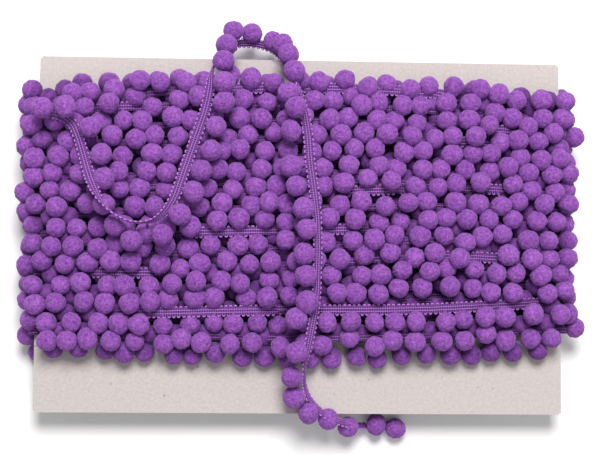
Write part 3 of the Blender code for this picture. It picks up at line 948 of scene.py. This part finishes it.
def make_camera():
    lens = bpy.data.cameras.new("camera")
    lens.lens = 81.0
    lens.sensor_width = 36.0
    lens.clip_start = 0.01
    camera = bpy.data.objects.new("camera", lens)
    camera.location = Vector((-31.4, -50.4, 658.7)) * MM
    camera.rotation_euler = [math.radians(angle) for angle in (4.456, -2.809, 0.408)]
    bpy.context.scene.collection.objects.link(camera)
    bpy.context.scene.camera = camera


def area_light(name, place, aim, size, power, colour=(1.0, 1.0, 1.0)):
    light = bpy.data.lights.new(name, "AREA")
    light.shape = "DISK"
    light.size = size
    light.energy = power
    light.color = colour
    thing = bpy.data.objects.new(name, light)
    thing.location = place
    thing.rotation_euler = (Vector(aim) - Vector(place)).to_track_quat("-Z", "Y").to_euler()
    bpy.context.scene.collection.objects.link(thing)


def make_stage():
    shape = bmesh.new()
    bmesh.ops.create_grid(shape, x_segments=8, y_segments=8, size=6.0)
    mesh = bpy.data.meshes.new("floor")
    shape.to_mesh(mesh)
    shape.free()
    mesh.materials.append(floor_material())
    floor = bpy.data.objects.new("floor", mesh)
    bpy.context.scene.collection.objects.link(floor)
    world = bpy.data.worlds.new("studio")
    world.use_nodes = True
    background = world.node_tree.nodes["Background"]
    background.inputs["Color"].default_value = rgb(1.0, 1.0, 1.0)
    background.inputs["Strength"].default_value = 0.32
    bpy.context.scene.world = world
    area_light("key", (0.02, 0.55, 1.10), (0.0, 0.0, 0.0), 0.55, 16.4, (1.0, 0.985, 0.96))
    area_light("fill", (0.30, -0.50, 1.10), (0.0, 0.0, 0.0), 0.9, 2.4, (0.97, 0.98, 1.0))
    bpy.context.scene.view_settings.view_transform = "Standard"


# ---- putting the pieces together ----

def dress(piece, slot, *stands_for):
    """Let a piece ride on the one body and stand for the model's solids. slot is not used."""
    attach(piece, "root")
    if stands_for:
        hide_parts(*stands_for)


def nearest_places(centres, points):
    """For each centre, the nearest of the points."""
    tree = kdtree.KDTree(len(points))
    for i, point in enumerate(points):
        tree.insert(point, i)
    tree.balance()
    return np.array([tree.find(centre)[0] for centre in centres])


def make_loose_end(materials, kind, rng):
    steps_per_pick = 3
    *_, rough_length = loose_line(60)
    count = round(rough_length / PICK_PITCH * steps_per_pick)
    points, along, across, length = loose_line(count)
    up = np.cross(along, across)
    step = length / (count - 1)
    picks = np.arange(count) / steps_per_pick
    band = make_band(points, across, up, picks, BOTH_FACES)
    picots = make_picots(points, across, up, along, step)
    braid = make_braid("loose_braid_woven", (band, picots), materials["braid"], wound=False)
    centres = np.array(LOOSE_POMPOMS) * MM
    radii = POMPOM_RADIUS * rng.uniform(1.0, 1.07, size=len(centres))
    edges = nearest_places(centres, points + across * BRAID_HALF)
    necks = make_necks(centres, edges, POMPOM_RADIUS)
    necks = make_braid("loose_pompom_necks", (necks,), materials["braid"], wound=False)
    squash = rng.uniform(0.95, 1.05, size=(len(centres), 3))
    pompoms = join_pompoms("loose_pompoms_yarn", kind, centres, radii, squash, rng,
                           materials["pompom"], wound=False)
    dress(braid, "braid", "loose_braid")
    dress(necks, "braid")
    names = [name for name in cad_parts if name.startswith("loose_pompom_")]
    dress(pompoms, "pompom_yarn", *names)
    path = [tuple(point) for point in points[::count // 140]]
    path.append(tuple(points[-1]))
    return centres, radii, points


def wound_turns():
    """Every turn: (turn, the next one down, layer, how far out it is seen, its braid).

    Only the outer layer's turns have a braid, given by its number; the others say -1.
    """
    round_end = CARD_END + 2 * CENTRE_END
    outer = (CARD_TOP + CENTRE_OUTER_FRONT, CENTRE_OUTER_BACK, CENTRE_END, True)
    inner = (CARD_TOP + CENTRE_INNER_FRONT, CENTRE_INNER_BACK, CENTRE_END, False)
    turns = []
    for i, turn in enumerate(OUTER_TURNS):
        between = halfway(turn, next_turn(i))
        last = i + 1 == len(OUTER_TURNS)
        turns.append((turn, next_turn(i), outer, CARD_END - 1.0 * MM if last else round_end, i))
        if not last:
            turns.append((between, between, inner, CARD_END - 6.0 * MM, -1))
    turns.append((BOTTOM_TURN, BOTTOM_TURN, inner, CARD_END - 5.0 * MM, -1))
    turns.append((TOP_TURN, TOP_TURN, inner, round_end, -1))
    return turns


def unmoved_things(loose, braids):
    """The centres and radii that the wound pompoms must keep clear of."""
    loose_centres, loose_radii, loose_points = loose
    slack = loose_points[::24]
    bare = np.concatenate([points[bareness > 0.5][::7] for _, points, _, bareness in braids[1:]])
    strays = np.array(STRAYS) * MM
    radii = (loose_radii * PRESSED, np.full(len(slack), 1.2 * MM), np.full(len(bare), 1.6 * MM),
             np.full(len(strays), POMPOM_RADIUS * PRESSED))
    return np.concatenate((loose_centres, slack, bare, strays)), np.concatenate(radii)


def make_wound_pompoms(materials, kinds, loose, braids, rng):
    """The pompoms of the winding in their pieces. kinds are the fine, middle and coarse ones."""
    fine, middle, coarse = kinds
    rows = []
    phase = 0.0
    for turn, following, layer, reach, braid in wound_turns():
        phase += rng.normal(0.37, 0.08)
        places, at_back = turn_targets(turn, following, layer, reach, phase, rng)
        single = turn in (TOP_TURN, BOTTOM_TURN)
        rows.append((places, at_back, np.full(len(places), braid), np.full(len(places), single)))
    targets, behind, owner, single = (np.concatenate(column) for column in zip(*rows))
    outer = owner >= 0
    count = len(targets)
    radii = POMPOM_RADIUS * rng.uniform(0.95, 1.04, size=count)
    shift = rng.normal(size=(count, 3)).clip(-2, 2) * np.array((1.1, 1.3, 1.6)) * MM
    shift *= np.where(outer, 1.0, 0.5)[:, None]
    shift[behind, 2] *= 0.3
    start = targets + shift
    centres = settle(start.copy(), radii, start, *unmoved_things(loose, braids))
    squash = rng.uniform(0.96, 1.04, size=(count, 3))
    squash[behind, 2] *= 0.93
    front = centres[:, 2] > (CARD_TOP + CARD_BOTTOM) / 2
    shown = outer | (np.abs(centres[:, 0]) > CARD_END - 4.0 * MM) | single
    third = np.digitize(centres[:, 1], (-15.0 * MM, 28.0 * MM))
    groups = {}
    for k, label in enumerate(("lower", "middle", "upper")):
        groups[f"pompoms_front_{label}"] = (fine, shown & front & (third == k))
    groups["pompoms_back"] = (middle, shown & ~front)
    groups["pompoms_inner_front"] = (coarse, ~shown & front)
    groups["pompoms_inner_back"] = (coarse, ~shown & ~front)
    for name, (kind, chosen) in groups.items():
        piece = join_pompoms(name, kind, centres[chosen], radii[chosen], squash[chosen], rng,
                             materials["pompom"])
        dress(piece, "pompom_yarn", "winding")
    strays = np.array(STRAYS) * MM
    piece = join_pompoms("stray_pompoms", fine, strays, np.full(len(strays), POMPOM_RADIUS),
                         np.ones((len(strays), 3)), rng, materials["pompom"])
    dress(piece, "pompom_yarn", "winding")
    make_wound_necks(materials, centres, np.where(front, owner, -1), braids)


def make_wound_necks(materials, centres, owner, braids):
    """The short threads from the front pompoms of the outer layer to their braid's edge."""
    ends, starts = [], []
    for i, (_, points, _, _) in enumerate(braids):
        own = centres[owner == i]
        towards = np.array((0.0, -math.copysign(0.9 * BRAID_HALF, OUTER_TURNS[i].braid), 0.0))
        ends.append(own)
        starts.append(nearest_places(own, points + towards))
    necks = make_necks(np.concatenate(ends), np.concatenate(starts), POMPOM_RADIUS)
    dress(make_braid("wound_pompom_necks", (necks,), materials["braid"]), "braid")


def make_wound_braid(name, turns, material):
    """One layer's braid, a single band from its first turn to its last, with its bare loops."""
    points = np.concatenate([turn[1] for turn in turns])
    outward = np.concatenate([turn[2] for turn in turns])
    length = max(turn[0][-1] for turn in turns) + 3 * PICK_PITCH
    picks = np.concatenate([(turn[0] + i * length) / PICK_PITCH for i, turn in enumerate(turns)])
    along = unit(np.gradient(points, axis=0))
    across = unit(np.cross(outward, along))
    up = np.cross(along, across)
    bareness = np.concatenate([turn[3] for turn in turns])
    parts = [make_band(points, across, up, picks, ONE_FACE if bareness.any() else PLAIN_FACE)]
    edges = np.flatnonzero(np.diff(np.concatenate(((0,), bareness > 0.3, (0,))).astype(int)))
    for first, last in zip(edges[::2], edges[1::2]):
        span = slice(first, last)
        parts.append(make_picots(points[span], across[span], up[span], along[span],
                                 PICK_PITCH / 3))
    dress(make_braid(name, parts, material), "braid")


def main():
    make_camera()
    make_stage()
    materials = {
        "pompom": pompom_material(cut_fibre_group()),
        "braid": braid_material(twisted_thread_group(), woven_ladder_group()),
        "board": greyboard_material(),
    }
    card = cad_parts["card"]
    card.data.materials.clear()
    card.data.materials.append(materials["board"])
    rng = np.random.default_rng(20)
    kinds = [PompomKind(*kind) for kind in POMPOM_KINDS]
    loose = make_loose_end(materials, kinds[0], rng)
    braids = outer_braid()
    make_wound_pompoms(materials, kinds[1:], loose, braids, rng)
    make_wound_braid("wound_braid_woven", braids, materials["braid"])
    make_wound_braid("wound_braid_inner", inner_braid(), materials["braid"])


main()
